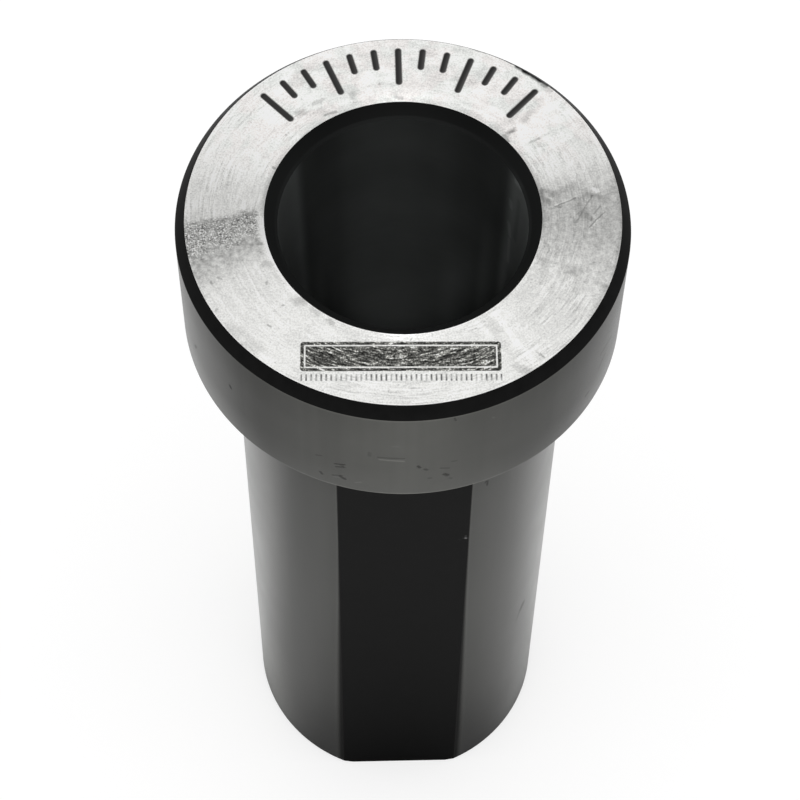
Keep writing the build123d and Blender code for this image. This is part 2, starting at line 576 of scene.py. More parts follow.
def buildSectorShade():
    # the mask of a sector round the axis, in degrees: 1 within Half of Heading, then fading
    group, given = startGroup("sectorShade", {
        "Way": (0.0, 0.0, 0.0), "Heading": 0.0, "Half": 5.0, "FadeBack": 5.0, "FadeAhead": 5.0,
    }, {"Mask": "Float"})
    heading = mathNode(group, "RADIANS", given["Heading"])
    sine, cosine = (mathNode(group, name, heading) for name in ("SINE", "COSINE"))
    ahead, aside = joined(group, cosine, sine), joined(group, times(group, sine, -1.0), cosine)
    sides = (vectorNode(group, "DOT_PRODUCT", given["Way"], side, result="Value") for side in (aside, ahead))
    turn = mathNode(group, "DEGREES", mathNode(group, "ARCTAN2", *sides))
    low, high = times(group, given["Half"], -1.0), given["Half"]
    back = mapNode(group, turn, mathNode(group, "SUBTRACT", low, given["FadeBack"]), low, 0, 1)
    front = mapNode(group, turn, high, mathNode(group, "ADD", high, given["FadeAhead"]), 1, 0)
    return endGroup(group, {"Mask": times(group, back, front)})


def buildEdgeStrip():
    # a mask along the turned edges, for bare metal and for painted highlight and shade: 1 at the edge, fading
    # over a Width that wanders by Broken
    swing, leastReach = 3.0, 0.001
    group, given = startGroup("edgeWear", {
        "Place": (0.0, 0.0, 0.0), "Width": 0.1, "Broken": 0.6, "Size": 0.8,
    }, {"Mask": "Float"})
    noise = noiseNode(group, patchPlace(group, given), 3.0)
    reach = toned(group, given["Width"], noise, times(group, given["Broken"], swing))
    reach = mathNode(group, "MAXIMUM", reach, leastReach)
    return endGroup(group, {"Mask": mapNode(group, attributeNode(group, "edgeDistance"), 0.0, reach, 1, 0)})


effects = {
    "axisPlace": buildAxisPlace(),
    "turningLines": buildTurningLines(),
    "cloudyTone": buildCloudyTone(),
    "raggedPlace": buildRaggedPlace(),
    "strokeMark": buildStrokeMark(),
    "sectorShade": buildSectorShade(),
    "edgeWear": buildEdgeStrip(),
}
print("effects built:", ", ".join(effects))


def useGroup(tree, name, **inputs):
    return addNode(tree, "ShaderNodeGroup", inputs, node_tree=effects[name]).outputs


def turningLines(tree, along, way, pitch, reach, detail=2.0):
    inputs = {"Along": along, "Way": way, "Pitch": pitch, "Reach": reach, "Detail": detail}
    return useGroup(tree, "turningLines", **inputs)["Value"]


def cloudyTone(tree, place, size, detail=2.0):
    return useGroup(tree, "cloudyTone", Place=place, Size=size, Detail=detail)["Value"]


def sectorMask(tree, way, sector):
    inputs = dict(zip(("Heading", "Half", "FadeBack", "FadeAhead"), sector))
    return useGroup(tree, "sectorShade", Way=way, **inputs)["Mask"]


def addSectors(tree, tone, way, sectors):
    # a sector is heading, half, fade back and fade ahead in degrees, and here the tone
    for *sector, change in sectors:
        tone = toned(tree, tone, sectorMask(tree, way, sector), change)
    return tone


def addPatches(tree, tone, way, along, patches):
    # a patch is a sector that begins at one radius or height and is full at another, and the tone
    for *sector, start, full, change in patches:
        mask = times(tree, sectorMask(tree, way, sector), mapNode(tree, along, start, full, 0, 1))
        tone = toned(tree, tone, mask, change)
    return tone


def addStrokes(tree, tone, place, strokes):
    # a stroke runs from x, y to x, y, with its width, all in millimetres, and the tone
    for startX, startY, endX, endY, width, change in strokes:
        inputs = {"Start": (startX, startY, 0), "End": (endX, endY, 0), "Width": width, "Tone": change}
        tone = useGroup(tree, "strokeMark", Before=tone, Place=place, **inputs)["Tone"]
    return tone


def clearedTree(owner):
    owner.use_nodes = True
    owner.node_tree.nodes.clear()
    return owner.node_tree


def startMetal(name, values):
    # the material's shader with the values that are the same all over
    material = bpy.data.materials.new(name)
    tree = clearedTree(material)
    shader = addNode(tree, "ShaderNodeBsdfPrincipled", {
        "Metallic": values["metallic"], "Roughness": values["roughness"],
        "Anisotropic": values["anisotropic"], "Specular IOR Level": values["specular"],
    })
    if values["anisotropic"]:
        tangent = addNode(tree, "ShaderNodeTangent", direction_type="UV_MAP", uv_map="turning")
        tree.links.new(tangent.outputs["Tangent"], shader.inputs["Tangent"])
    addNode(tree, "ShaderNodeOutputMaterial", {"Surface": shader.outputs["BSDF"]})
    return material, tree, shader


faceFinish = {  # turned and left bare; lengths in millimetres, and tones as shares of the steel's
    "metallic": 1.0,
    "roughness": 0.42,
    "anisotropic": 0.92,
    "specular": 0.5,
    "steel": (0.905, 0.905, 0.884),
    "farSide": (0.2, 0.6),  # where this much of the way lies to the back, it is patches of two steels
    "warmSteel": (0.925, 0.9, 0.88),
    "coolSteel": (0.896, 0.908, 0.884),
    "warmSize": 1.6,
    "warmNoise": (-0.07, 0.09),
    "finePitch": 0.15,  # between turning lines
    "fineReach": 7.0,
    "fineTone": 0.42,
    "broadPitch": 0.45,
    "broadReach": 3.0,
    "broadTone": 0.22,
    "lineTone": -0.10,  # thin dark lines where the broad ones cross zero
    "lineWidth": 0.035,
    "patchSize": 2.2,  # where the turning lines show, and where they are smeared over
    "patchNoise": (-0.14, 0.14),
    "patchLines": (0.35, 1.9),
    "cloudSize": 1.1,
    "cloudTone": 0.34,
    "cloudRough": 0.15,
    "grainSize": 0.13,
    "grainTone": 0.65,
    "mottleSize": 0.34,
    "mottleTone": 0.14,
    "mottleMore": 0.55,  # added in mottleSector
    "mottleSector": (-8, 14, 20, 14),
    "mottleDull": 1.3,  # and in the dull sector
    "smearSector": (80, 43, 14, 14),  # where the turning lines are rubbed away and the clouds show
    "smearLines": -0.65,
    "smearCloud": 1.5,
    "rubSector": (220, 22, 16, 16),  # and where they are only worn fainter
    "rubLines": -0.5,
    "fleckSize": 0.4,
    "fleckNoise": (0.22, 0.3),
    "fleckTone": -0.3,
    "raggedSize": 0.9,  # over what size, and how far, soft marks lose their outline
    "raggedRange": 0.9,
    "unevenSize": 0.5,  # and the same for scratches
    "unevenRange": 0.22,
    "rimTone": 0.10,  # painted highlight: the rim is a little lighter
    "rimWidth": 0.12,
    "dullSector": (182, 3.5, 4, 19),  # dull and coarse, and darker as painted shade of the dark band in the turned face's reflection
    "dullLean": 0.26,  # how its heading grows with the radius
    "dullInner": 10.0,  # the radii where it begins and is full
    "dullFull": 10.5,
    "dullTone": -0.38,
    "dullLines": -0.7,
    "sparkleSector": (181.5, 2, 4.5, 7),  # the coarsest grain
    "sparkleCloud": (-0.25, 0.15),
    "sparkleShare": (1.0, 0.4),
    "sparkleTone": 3.6,
    "glintGrain": (0.08, 0.24),  # and bright points there
    "glintTone": 1.5,
    "tickOutline": (-0.06, 0.07),
    "tickShade": (-0.1, 0.3),  # painted shade and highlight, from the shaded side of a tick to its lit side
    "etchColour": (1.0, 0.985, 0.97),
    "etchCore": 0.045,
    "etchEdge": 0.13,
    "etchRough": 0.6,
    "etchBlur": 0.03,
    "rasterColour": (1.0, 1.0, 0.94),
    "rasterPitch": 0.14,
    "rasterReach": 16.0,
    "rasterTone": 0.17,
    "rasterRange": 9.0,
    "rasterGrain": 6.0,
    "rowColour": (0.16, 0.16, 0.16),
    "faintSize": 0.7,  # the row is fainter in places
    "faintNoise": (-0.15, 0.15),
    "faintShare": (0.35, 1.0),
    "bumpStrength": 0.12,
    "bumpHeight": 0.00002,  # in metres
    "bumpGrain": 0.6,
}
faceLightAndShadeSectors = [  # painted light and shade of the turned face's reflection, by angle: heading, half, fades, tone
    (-1, 3, 32, 16, -0.22), (34, 10, 12, 8, 0.05),
    (-32, 8, 10, 10, -0.05), (150, 10, 12, 8, 0.06),
]
faceRimLightAndShade = [  # painted shade and highlight near the bore's rim and the outer rim: heading, half, fades, from and to a radius, tone
    (90, 75, 15, 15, 10.6, 9.75, -0.16), (6, 8, 14, 14, 10.3, 9.75, -0.3),
    (164, 10, 12, 10, 10.2, 9.75, -0.24), (196, 12, 10, 14, 10.3, 9.75, 0.18),
    (-50, 6, 8, 8, 10, 9.75, -0.12), (-10, 18, 22, 16, 14.9, 15.45, -0.2),
]
faceSmudges = [  # from x, y to x, y, width, tone; soft and ragged
    (-11.3, 0.1, -10.6, 0.3, 0.8, -0.14), (-14, -0.6, -13, -0.4, 0.8, -0.22),
    (-12.6, -0.2, -11.6, 0.1, 0.5, -0.12), (-9.7, -3.9, -9.3, -4, 0.5, -0.24),
    (-8.9, -4.8, -8.6, -5.1, 0.9, -0.08), (-7.4, -7, -7.1, -6.9, 0.7, -0.28),
    (-6.3, -7.7, -6, -7.9, 0.6, -0.18), (-5.4, -8.6, -5.1, -8.8, 0.35, -0.28),
    (-11.9, -9.1, -11.5, -9.5, 0.8, -0.14), (-10.9, -10.4, -10.4, -10.7, 1.1, -0.14),
    (-9.9, -11.4, -9.4, -11.7, 0.9, 0.08), (-8.8, -8.9, -8.2, -9.1, 1, 0.08),
    (-8.2, -5.9, -7.7, -6.2, 0.6, 0.1), (5.5, -8.5, 6.3, -9.5, 0.45, -0.1),
    (5.9, -9.7, 7, -11.3, 0.6, -0.1), (7.4, -12.4, 8.2, -12.9, 0.6, -0.22),
    (9.8, 1.9, 10.1, 0.9, 0.35, -0.34), (10, 1.9, 11, 1.4, 0.6, -0.16),
    (10.6, 1.6, 12.3, 2.2, 0.5, -0.16), (13, 1.3, 13.8, 1.2, 0.5, -0.3),
    (14.1, 0.9, 14.5, 1.4, 0.4, -0.2), (12.7, -0.1, 13, -0.5, 0.6, -0.24),
    (12.2, 1, 12.5, 0.2, 0.6, -0.14), (14.4, 1.3, 14.8, 1.2, 0.5, 0.16),
    (13.5, -2.9, 13.6, -3, 0.4, -0.2), (11.3, -4.7, 11.8, -4.9, 0.7, -0.18),
    (9.5, -4, 9.7, -4.3, 0.6, -0.16), (13.7, -6.1, 13.9, -6.4, 0.4, -0.24),
    (9, 6.5, 9.6, 7, 0.9, 0.12), (8.6, 7.2, 9.4, 7.9, 0.8, 0.07),
    (9.8, 8.3, 10.6, 9, 0.7, 0.08), (11.2, 8, 12.2, 8.6, 0.7, 0.07),
    (8, 8, 8.9, 9.6, 0.4, -0.12), (9.7, 10.4, 10.6, 11.3, 0.4, -0.1),
    (10.4, 6.6, 12, 7.5, 0.35, -0.07), (9.9, 5.4, 12.2, 6.3, 0.4, 0.06),
    (9.2, 5.8, 10.4, 5.8, 0.35, -0.07), (10.5, 7.8, 11.1, 8.2, 0.8, 0.1),
    (11.4, 9.4, 11.9, 8.8, 0.8, 0.1), (9.6, 12, 10.1, 11.5, 0.8, 0.1),
    (7.7, 6.9, 8.1, 7.2, 0.45, -0.32), (7.3, 6.6, 7.5, 6.4, 0.35, -0.4),
    (8.9, 8, 9.2, 8.6, 0.55, -0.16), (8.2, 8.9, 8.6, 9.3, 0.5, -0.14),
    (10.2, 9.4, 10.8, 9, 0.6, 0.07), (9.9, 9.8, 10.3, 9.4, 0.8, -0.14),
    (10.2, 11.2, 10.9, 10.8, 0.6, -0.26), (12, 6, 12.6, 6.4, 0.6, -0.1),
    (-3.4, 10.6, -3.3, 10.2, 0.5, -0.24), (-6.2, 9.7, -5.7, 9.9, 0.45, -0.3),
    (-7.3, 8.9, -6.8, 8.9, 0.5, -0.22), (-9.6, 9, -9, 8.2, 1, 0.1),
    (-11, 5.6, -10.4, 5.2, 0.7, 0.1), (-9.2, 4.4, -9.1, 4.2, 0.2, -0.4),
    (-8.7, 10.9, -7.9, 12.6, 0.6, 0.12),
]
faceScratches = [  # the same, fine and straight
    (9.2, 6, 9.9, 6.4, 0.16, -0.3), (9.9, 6.4, 10.5, 6.8, 0.22, -0.16),
    (7.8, 6.9, 8.1, 7.1, 0.16, -0.35), (-2.6, 15.3, -0.2, 15.5, 0.12, -0.9),
    (5.3, 14.5, 6.3, 14.1, 0.16, -0.6), (-0.3, 10.2, 0.2, 10.1, 0.25, -0.25),
    (-5.4, 8.7, -4.6, 9, 0.16, -0.4), (6.1, -8.2, 6.6, -9, 0.45, 0.12),
    (6.6, -9, 7.5, -10.6, 0.38, 0.14), (7.5, -10.6, 8.6, -12.1, 0.45, 0.16),
    (4.7, -8.8, 5.8, -10.1, 0.4, 0.12), (9.1, -11.5, 9.3, -11.8, 0.12, -0.35),
    (8.8, -11.4, 9, -11.6, 0.12, -0.25), (8, 13.3, 8.8, 12.8, 0.24, -0.95),
    (8.7, 12.8, 9.5, 12.3, 0.5, -0.97), (9.2, 12.4, 10.2, 11.6, 0.54, -0.97),
    (10.1, 11.7, 10.7, 11.1, 0.3, -0.9), (-9.5, -8.9, -9.3, -9, 0.12, -0.45),
    (-13, -4.9, -12.7, -5.1, 0.12, -0.3), (-10.1, -2.2, -9.9, -2.2, 0.25, -0.3),
    (-8.5, -7.3, -8.4, -7.3, 0.15, -0.4), (-9.6, -5.4, -9.6, -5.5, 0.15, -0.35),
    (-13.4, -5.3, -13.4, -5.4, 0.16, -0.4), (-13.1, -7.6, -13, -7.5, 0.15, -0.3),
    (-11.4, -10.5, -11.3, -10.4, 0.15, -0.35), (-11.3, -3.7, -10.1, -6.5, 0.1, 0.12),
    (-11.2, -3.7, -10, -6.5, 0.08, -0.1), (-13, -6.4, -11.5, -8.8, 0.09, 0.1),
    (13.5, 1.5, 12.3, -0.5, 0.1, 0.22), (13.4, 1.4, 12.2, -0.7, 0.09, -0.4),
    (14.3, 0.1, 13.2, -1.3, 0.09, 0.22), (14.2, 0, 13, -1.3, 0.08, -0.4),
    (13.9, 0.5, 13.4, -0.2, 0.07, -0.3), (13.5, 2, 13.8, 1.8, 0.2, 0.45),
    (13.7, 1.7, 13.9, 1.7, 0.12, 0.4), (10.7, 0.5, 12.2, 1.2, 0.09, -0.38),
    (10.7, 0.6, 12.2, 1.3, 0.1, 0.22), (10.3, 0.3, 11.2, 0.5, 0.12, -0.2),
    (13, 4, 12.9, 3.4, 0.1, 0.16), (12.6, 4.3, 12.5, 3.7, 0.1, -0.14),
    (12.2, 4.6, 12.1, 4, 0.1, 0.14), (10.3, 11.1, 10.6, 10.9, 0.2, -0.35),
]


def buildFaceSteel(tree, axis):
    # the bare steel's colour: 1 + patch (fine + thin lines) + broad lines + clouds + mottle + grain,
    # then multiplied by the wear and by the painted light and shade, each kind of it as 1 + mask change
    finish = faceFinish
    place, radius, way = axis["Place"], axis["Radius"], axis["Way"]
    level = vectorNode(tree, "MULTIPLY", place, (1, 1, 0))
    ragged, uneven = (useGroup(
        tree, "raggedPlace", Place=level, Size=finish[kind + "Size"], Range=finish[kind + "Range"],
    )["Place"] for kind in ("ragged", "uneven"))
    fine, broad = (
        turningLines(tree, radius, way, finish[kind + "Pitch"], finish[kind + "Reach"])
        for kind in ("fine", "broad")
    )
    cloud = cloudyTone(tree, place, finish["cloudSize"], 3.0)
    grain, patch, mottle, fleck = (
        cloudyTone(tree, place, finish[kind + "Size"], 1.0) for kind in ("grain", "patch", "mottle", "fleck")
    )
    # the dull sector leans over: its heading grows with the radius
    lean = timesPlus(tree, radius, finish["dullLean"], -finish["dullLean"] * finish["dullInner"])
    leanWay = vectorNode(tree, "NORMALIZE", vectorNode(tree, "ADD", ragged, joined(tree, 0.0, lean)))
    inner = mapNode(tree, radius, finish["dullInner"], finish["dullFull"], 0, 1)
    dull, sparkle = (
        times(tree, sectorMask(tree, leanWay, finish[kind + "Sector"]), inner) for kind in ("dull", "sparkle")
    )
    sparkle = times(tree, sparkle, mapNode(tree, cloud, *finish["sparkleCloud"], *finish["sparkleShare"]))
    coarse, smear, rub = (
        sectorMask(tree, way, finish[kind + "Sector"]) for kind in ("mottle", "smear", "rub")
    )
    patch = mapNode(tree, patch, *finish["patchNoise"], *finish["patchLines"])
    for mask, change in ((smear, "smearLines"), (rub, "rubLines"), (dull, "dullLines")):
        patch = toned(tree, patch, mask, finish[change])
    line = mapNode(tree, mathNode(tree, "ABSOLUTE", broad), 0.0, finish["lineWidth"], finish["lineTone"], 0)
    lines = timesPlus(tree, fine, finish["fineTone"], line)
    tone = timesPlus(tree, lines, patch, 1.0)
    tone = timesPlus(tree, broad, finish["broadTone"], tone)
    tone = timesPlus(tree, cloud, toned(tree, finish["cloudTone"], smear, finish["smearCloud"]), tone)
    mottleTone = timesPlus(tree, coarse, finish["mottleMore"], finish["mottleTone"])
    tone = timesPlus(tree, mottle, timesPlus(tree, dull, finish["mottleDull"], mottleTone), tone)
    grainTone = timesPlus(tree, sparkle, finish["sparkleTone"], finish["grainTone"])
    tone = timesPlus(tree, grain, grainTone, tone)
    # painted shade over the dull sector
    tone = toned(tree, tone, dull, finish["dullTone"])
    glint = mapNode(tree, grain, *finish["glintGrain"], 0, finish["glintTone"])
    tone = timesPlus(tree, sparkle, glint, tone)
    tone = toned(tree, tone, mapNode(tree, fleck, *finish["fleckNoise"], 0, 1), finish["fleckTone"])
    # painted light and shade by angle round the face
    tone = addSectors(tree, tone, vectorNode(tree, "NORMALIZE", ragged), faceLightAndShadeSectors)
    # painted shade and highlight near the rims
    tone = addPatches(tree, tone, way, radius, faceRimLightAndShade)
    tone = addStrokes(tree, tone, ragged, faceSmudges)
    tone = addStrokes(tree, tone, uneven, faceScratches)
    # painted highlight along the face's rims
    rim = useGroup(tree, "edgeWear", Place=place, Width=finish["rimWidth"])["Mask"]
    tone = toned(tree, tone, rim, finish["rimTone"])
    warm = mapNode(tree, cloudyTone(tree, place, finish["warmSize"]), *finish["warmNoise"], 0, 1)
    steel = mixColour(tree, warm, (*finish["coolSteel"], 1), (*finish["warmSteel"], 1))
    farSide = mapNode(tree, split(tree, way)["Y"], *finish["farSide"], 0, 1)
    steel = mixColour(tree, farSide, (*finish["steel"], 1), steel)
    return {"colour": scaled(tree, steel, tone), "fine": fine, "cloud": cloud, "grain": grain}


def buildPlateMarks(tree, axis):
    # the etched field, short bright streaks along the turning inside a bare frame line, and a
    # row of fine strokes below it: the field's mask and colour, and the row's mask
    finish, marks = faceFinish, frontMarks
    place, radius, way = axis["Place"], axis["Radius"], axis["Way"]
    plate, blur = attributeNode(tree, "plateDistance"), finish["etchBlur"]
    streak = turningLines(tree, radius, way, finish["rasterPitch"], finish["rasterReach"], 3.0)
    speck = cloudyTone(tree, place, finish["rasterPitch"])
    power = timesPlus(tree, speck, finish["rasterGrain"], times(tree, streak, finish["rasterRange"]))
    tone = times(tree, mathNode(tree, "EXPONENT", power), finish["rasterTone"])
    frameLine = mathNode(tree, "ABSOLUTE", mathNode(tree, "ADD", plate, marks["frameInset"]))
    frameLine = mapNode(tree, frameLine, *marks["frameLine"], 0, 1)
    field = times(tree, mapNode(tree, plate, -blur, blur, 1, 0), frameLine)
    middle = (marks["plateAcross"], marks["rowBack"], 0)
    turned = addNode(tree, "ShaderNodeVectorRotate", {
        "Vector": vectorNode(tree, "MULTIPLY", place, (1, 1, 0)), "Center": middle,
        "Angle": np.radians(-marks["plateTurn"]),
    }, rotation_type="Z_AXIS").outputs[0]
    parts = split(tree, vectorNode(tree, "SUBTRACT", turned, middle))
    beat = mathNode(tree, "PINGPONG", parts["X"], marks["rowPitch"] / 2)
    across, back = (mathNode(tree, "ABSOLUTE", parts[name]) for name in "XY")
    sizes = ((beat, marks["rowStroke"]), (across, marks["plateWidth"]), (back, marks["rowHeight"]))
    row = times(tree, *(mapNode(tree, away, size / 2 - blur, size / 2 + blur, 1, 0) for away, size in sizes))
    faint = cloudyTone(tree, place, finish["faintSize"])
    row = times(tree, row, mapNode(tree, faint, *finish["faintNoise"], *finish["faintShare"]))
    return {"field": field, "colour": scaled(tree, finish["rasterColour"], tone), "row": row}


def buildGroundFace():
    finish = faceFinish
    material, tree, shader = startMetal("groundFace", finish)
    axis = useGroup(tree, "axisPlace")
    steel, plate = buildFaceSteel(tree, axis), buildPlateMarks(tree, axis)
    # ticks: dark grooves with painted shade and highlight, lighter on the side that faces the front right
    tick = mapNode(tree, attributeNode(tree, "tickDistance"), *finish["tickOutline"], 1, 0)
    side = attributeNode(tree, "tickSide")
    groove = mapNode(tree, side, *finish["tickShade"], finish["etchCore"], finish["etchEdge"])
    colour = mixColour(tree, plate["field"], steel["colour"], plate["colour"])
    colour = mixColour(tree, plate["row"], colour, (*finish["rowColour"], 1))
    colour = mixColour(tree, tick, colour, scaled(tree, finish["etchColour"], groove))
    tree.links.new(colour, shader.inputs["Base Color"])
    etched = mathNode(tree, "MAXIMUM", plate["field"], tick)
    plain = timesPlus(tree, steel["cloud"], finish["cloudRough"], finish["roughness"])
    rough = mapNode(tree, etched, 0, 1, plain, finish["etchRough"], "LINEAR")
    tree.links.new(rough, shader.inputs["Roughness"])
    bump = addNode(tree, "ShaderNodeBump", {
        "Strength": finish["bumpStrength"], "Distance": finish["bumpHeight"],
        "Height": timesPlus(tree, steel["grain"], finish["bumpGrain"], steel["fine"]),
    })
    tree.links.new(bump.outputs[0], shader.inputs["Normal"])
    return material


sideFinish = {  # ground and lightly blackened
    "metallic": 1.0,
    "roughness": 0.22,
    "anisotropic": 0.3,
    "specular": 0.03,
    "steel": (0.079, 0.0796, 0.0733),
    "cloudSize": 3.2,
    "cloudTone": 0.22,
    "cloudRough": 0.06,
    "linePitch": 0.35,
    "lineReach": 1.2,
    "lineTone": 0.08,
    "risePitch": 30.0,  # faint upright streaks
    "riseReach": 22.0,
    "riseTone": 0.20,
    "seatBlur": 0.1,  # the step from the shank to the flange
    "flangeLift": 100.0,  # added to heights on the shank, to take them out of flangeShadePatches
    "edgeWidth": 0.17,
    "edgeSize": 1.5,
    "edgeTone": 0.45,  # bare along the upper edge
    # painted highlight along the lower edge to the front
    "edgeFront": 1.1,
    "edgeSector": (-90, 34, 16, 16),
    "edgeDull": -0.45,  # painted shade round the rest of the lower edge
    "edgeStep": (1.0, 2.0),  # above the seat, where the lower edge gives way to the upper
    "fringeTone": 0.97,  # blackened beside the flat, wider to the rear: in millimetres of arc
    "fringeRear": 0.20,
    "fringeHeights": (6.0, 34.0),
    "softRear": 0.70,  # and softer edged
    "softFront": 0.12,
    "softHeights": (10.0, 45.0),
    "brightTone": 0.14,  # a bright line beyond the fringe
    "brightWidth": 0.15,
}
sideLightAndShade = [  # painted light and shade of what the side mirrors: heading, half, fades, from and to a height, tone
    (-90, 20, 35, 35, 17, 1, -0.46), (200, 4, 20, 20, 21, 7, 1.4),
    (-24, 6, 16, 16, 21, 7, 0.45), (-90, 38, 18, 18, 61, 59, -0.08),
    (-128, 8, 12, 12, 61, 59, -0.06), (-90, 45, 20, 20, 30, 44, -0.12),
    (-90, 40, 20, 20, 60, 62, 0.2),
]
flangeShadePatches = [  # painted shade, the same, on the flange alone
    (-28, 12, 12, 12, 62.9, 62, -0.18), (-124, 12, 14, 14, 90, 80, -0.1),
    (-57, 12, 14, 14, 90, 80, -0.11), (-130, 9, 12, 12, 66.5, 62.5, -0.12),
    (-50, 9, 12, 12, 66.5, 62.5, -0.2),
]
sideWear = [  # strokes: x is the arc from the flat's middle, and y the height
    (-5.2, 64.9, -4.5, 65.1, 0.14, -0.6), (-5.1, 64.5, -4.6, 64.7, 0.16, -0.5),
    (-4.7, 64.9, -4.5, 64.7, 0.2, -0.3), (-5.4, 63.1, -4.7, 63.4, 0.12, -0.4),
    (-5.3, 62.9, -4.9, 63, 0.12, 0.25), (-4.8, 63.2, -4.5, 63, 0.26, -0.55),
    (-6.3, 63, -6.2, 62.8, 0.2, -0.55), (-6.6, 65.3, -6.2, 65.5, 0.12, -0.25),
    (-2.1, 67, -0.3, 67, 0.12, -0.3), (-2, 66.7, -0.3, 66.6, 0.12, 0.75),
    (-2.7, 67.5, -2.7, 67.1, 0.25, -0.2), (-1.1, 68.7, -0.7, 68.7, 0.15, 0.2),
    (0.7, 65.8, 0.8, 65.6, 0.22, -0.6), (1.2, 65.3, 1.3, 65.2, 0.25, -0.45),
    (2.3, 65.2, 2.9, 65, 0.12, -0.35), (3.1, 65.9, 3.4, 65.9, 0.15, -0.2),
    (2.6, 64.2, 2.8, 64, 0.3, -0.6), (1.5, 63.9, 1.6, 63.9, 0.2, -0.25),
    (3, 63.5, 3.1, 63.4, 0.2, -0.2), (-3.7, 62.8, -3.3, 63, 0.12, 0.4),
    (-14.1, 67.5, -14, 67.3, 0.22, -0.8), (-19.2, 65.6, -18.9, 66.1, 0.25, -0.5),
    (15, 64, 15.3, 64, 0.3, -0.3), (16.6, 67.5, 18.3, 67.3, 0.3, -0.2),
    (16.6, 65.7, 17.5, 66.2, 0.25, -0.2), (3.1, 72.1, 3.2, 71.7, 0.12, -0.4),
    (5.9, 70.7, 6, 70.6, 0.15, 0.4), (12.5, 23.4, 12.2, 22.9, 0.6, -0.45),
    (12, 22.6, 11.6, 21.6, 0.3, -0.18), (-10.4, 42.4, -9.8, 43.2, 0.2, 0.08),
    (-4.6, 55.6, -4.1, 55.4, 0.3, -0.15), (6.3, 53.4, 6.4, 53.6, 0.12, -0.5),
    (6.5, 53.5, 6.5, 52.9, 0.16, -0.55),
]


def buildGroundSide():
    finish = sideFinish
    material, tree, shader = startMetal("groundSide", finish)
    axis = useGroup(tree, "axisPlace")
    place, radius, height, way = axis["Place"], axis["Radius"], axis["Height"], axis["Way"]
    parts = split(tree, place)
    turn = mathNode(tree, "ARCTAN2", parts["X"], times(tree, parts["Y"], -1.0))
    laid = joined(tree, times(tree, turn, radius), height)
    cloud = cloudyTone(tree, place, finish["cloudSize"])
    tone = timesPlus(tree, cloud, finish["cloudTone"], 1.0)
    for kind in ("line", "rise"):
        lines = turningLines(tree, height, way, finish[kind + "Pitch"], finish[kind + "Reach"])
        tone = timesPlus(tree, lines, finish[kind + "Tone"], tone)
    # painted light and shade of what the side mirrors
    tone = addPatches(tree, tone, way, height, sideLightAndShade)
    seat = seatHeight / mm
    onFlange = mapNode(tree, height, seat - finish["seatBlur"], seat, 0, 1)
    onShank = mathNode(tree, "SUBTRACT", 1.0, onFlange)
    lifted = timesPlus(tree, onShank, finish["flangeLift"], height)
    # painted shade on the flange
    tone = addPatches(tree, tone, way, lifted, flangeShadePatches)
    wear = addStrokes(tree, 1.0, laid, sideWear)
    tone = times(tree, tone, wear)
    # edges of the flange: bare along the upper edge, with painted highlight along the lower edge to the front
    # and painted shade round the rest of it
    edgeMask = useGroup(tree, "edgeWear", Place=place, Width=finish["edgeWidth"], Size=finish["edgeSize"])["Mask"]
    front = sectorMask(tree, way, finish["edgeSector"])
    lower = mapNode(tree, front, 0, 1, finish["edgeDull"], finish["edgeFront"])
    lowEnd, highStart = (seat + step for step in finish["edgeStep"])
    edge = mapNode(tree, height, lowEnd, highStart, lower, finish["edgeTone"])
    tone = toned(tree, tone, times(tree, edgeMask, onFlange), edge)
    # a blackened fringe beside the shank's flat: how far along the round a point lies from the
    # flat's edge is nearly its depth behind the flat over the slope there
    edgeSlope = np.sqrt(1 - (flatOffset / shankRadius) ** 2)
    behind = mathNode(tree, "ADD", parts["Y"], flatOffset / mm)
    fromFlat = mathNode(tree, "DIVIDE", behind, edgeSlope)
    width = mapNode(tree, height, *finish["fringeHeights"], finish["fringeRear"], 0.0, "LINEAR")
    soft = mapNode(tree, height, *finish["softHeights"], finish["softRear"], finish["softFront"], "LINEAR")
    outer = mathNode(tree, "ADD", width, soft)
    dark = times(tree, mapNode(tree, fromFlat, width, outer, finish["fringeTone"], 0.0), onShank)
    bare = mathNode(tree, "SUBTRACT", 1.0, dark)
    bright = mapNode(tree, mathNode(tree, "SUBTRACT", fromFlat, outer), 0.0, finish["brightWidth"], 1, 0)
    tone = toned(tree, times(tree, tone, bare), bright, finish["brightTone"])
    tree.links.new(scaled(tree, finish["steel"], tone), shader.inputs["Base Color"])
    # dark marks are grime, which mirrors little
    metal = times(tree, bare, mathNode(tree, "MINIMUM", wear, 1.0))
    tree.links.new(metal, shader.inputs["Metallic"])
    rough = timesPlus(tree, cloud, finish["cloudRough"], finish["roughness"])
    tree.links.new(rough, shader.inputs["Roughness"])
    return material


oxideFinish = {  # blackened steel, nearly matt
    "metallic": 0.0,
    "roughness": 0.4,
    "anisotropic": 0.0,
    "specular": 0.032,
    "steel": (0.0043, 0.0043, 0.0043),
    "cloudSize": 1.2,
    "cloudTone": 0.8,
    "cloudRough": 0.2,
    "edgeWidth": 0.05,
    "edgeTone": 0.6,
}


def buildBlackOxide():
    finish = oxideFinish
    material, tree, shader = startMetal("blackOxide", finish)
    place = useGroup(tree, "axisPlace")["Place"]
    cloud = cloudyTone(tree, place, finish["cloudSize"])
    tone = timesPlus(tree, cloud, finish["cloudTone"], 1.0)
    edgeMask = useGroup(tree, "edgeWear", Place=place, Width=finish["edgeWidth"])["Mask"]
    tone = timesPlus(tree, edgeMask, finish["edgeTone"], tone)
    tree.links.new(scaled(tree, finish["steel"], tone), shader.inputs["Base Color"])
    rough = timesPlus(tree, cloud, finish["cloudRough"], finish["roughness"])
    tree.links.new(rough, shader.inputs["Roughness"])
    return material


